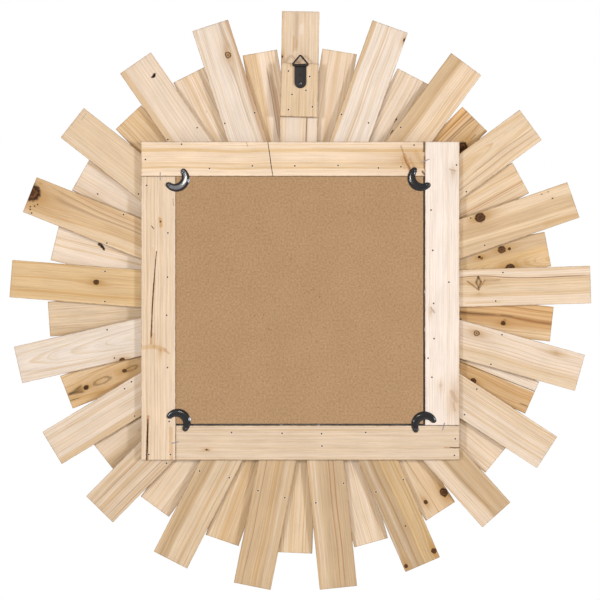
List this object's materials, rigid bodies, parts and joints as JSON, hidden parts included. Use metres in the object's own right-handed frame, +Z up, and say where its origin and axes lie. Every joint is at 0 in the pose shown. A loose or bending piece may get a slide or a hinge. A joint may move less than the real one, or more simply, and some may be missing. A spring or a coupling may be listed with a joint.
{
  "type": "sunburst wall mirror",
  "caption": "Wall mirror in a sunburst of two layers of raw wooden slats nailed to a square rear frame, hung by a wire ring, its backing board held by turn clips.",
  "frame": {"origin": "where a wall nail bears inside the top of the hanger ring, on the plane of the frame's rear face", "axes": "+Z up, +Y towards the wall, glass faces -Y; left and right are named as seen from behind"},
  "size_m": [0.6884, 0.0257, 0.685],
  "materials": {
    "long_slat_wood": "raw sawn softwood, unsealed",
    "short_slat_wood": "raw sawn softwood, unsealed",
    "frame_wood": "raw sawn softwood, unsealed",
    "hanger_block_wood": "raw sawn softwood, unsealed",
    "hardboard": "pressed fibre, matt",
    "mirror_silver": "silvered float glass",
    "black_enamel": "gloss black on pressed steel",
    "black_screw": "black-coated steel"
  },
  "bodies": {
    "mirror": {"long_slat_01": "long_slat_wood", "long_slat_02": "long_slat_wood", "long_slat_03": "long_slat_wood", "long_slat_04": "long_slat_wood", "long_slat_05": "long_slat_wood", "long_slat_06": "long_slat_wood", "long_slat_07": "long_slat_wood", "long_slat_08": "long_slat_wood", "long_slat_09": "long_slat_wood", "long_slat_10": "long_slat_wood", "long_slat_11": "long_slat_wood", "long_slat_12": "long_slat_wood", "long_slat_13": "long_slat_wood", "long_slat_14": "long_slat_wood", "long_slat_15": "long_slat_wood", "long_slat_16": "long_slat_wood", "long_slat_17": "long_slat_wood", "long_slat_18": "long_slat_wood", "long_slat_19": "long_slat_wood", "long_slat_20": "long_slat_wood", "long_slat_21": "long_slat_wood", "short_slat_01": "short_slat_wood", "short_slat_02": "short_slat_wood", "short_slat_03": "short_slat_wood", "short_slat_04": "short_slat_wood", "short_slat_05": "short_slat_wood", "short_slat_06": "short_slat_wood", "short_slat_07": "short_slat_wood", "short_slat_08": "short_slat_wood", "short_slat_09": "short_slat_wood", "short_slat_10": "short_slat_wood", "short_slat_11": "short_slat_wood", "short_slat_12": "short_slat_wood", "short_slat_13": "short_slat_wood", "short_slat_14": "short_slat_wood", "short_slat_15": "short_slat_wood", "short_slat_16": "short_slat_wood", "short_slat_17": "short_slat_wood", "short_slat_18": "short_slat_wood", "short_slat_19": "short_slat_wood", "short_slat_20": "short_slat_wood", "short_slat_21": "short_slat_wood", "frame_slat_top": "frame_wood", "frame_slat_right": "frame_wood", "frame_slat_bottom": "frame_wood", "frame_slat_left": "frame_wood", "mirror_glass": "mirror_silver", "backing_board": "hardboard", "clip_screw_upper_left": "black_screw", "clip_screw_upper_right": "black_screw", "clip_screw_lower_left": "black_screw", "clip_screw_lower_right": "black_screw", "hanger_block": "hanger_block_wood", "hanger_strap": "black_enamel", "hanger_screw": "black_screw"},
    "clip_upper_left": {"turn_clip_upper_left": "black_enamel"},
    "clip_upper_right": {"turn_clip_upper_right": "black_enamel"},
    "clip_lower_left": {"turn_clip_lower_left": "black_enamel"},
    "clip_lower_right": {"turn_clip_lower_right": "black_enamel"},
    "ring": {"hanger_ring": "black_enamel"}
  },
  "joints": [
    {"name": "clip_upper_left_turn", "type": "hinge", "parent": "mirror", "child": "clip_upper_left", "pos_m": [0.1549, 0.0003, -0.1509], "axis": [0, 1, 0], "continuous": true},
    {"name": "clip_upper_right_turn", "type": "hinge", "parent": "mirror", "child": "clip_upper_right", "pos_m": [-0.1498, 0.0003, -0.1512], "axis": [0, 1, 0], "continuous": true},
    {"name": "clip_lower_left_turn", "type": "hinge", "parent": "mirror", "child": "clip_lower_left", "pos_m": [0.1355, 0.0003, -0.4378], "axis": [0, 1, 0], "continuous": true},
    {"name": "clip_lower_right_turn", "type": "hinge", "parent": "mirror", "child": "clip_lower_right", "pos_m": [-0.1363, 0.0003, -0.4389], "axis": [0, 1, 0], "continuous": true},
    {"name": "ring_swing", "type": "hinge", "parent": "mirror", "child": "ring", "pos_m": [0, 0.0022, -0.0107], "axis": [-1, 0, 0], "range_deg": [-20, 155]}
  ]
}
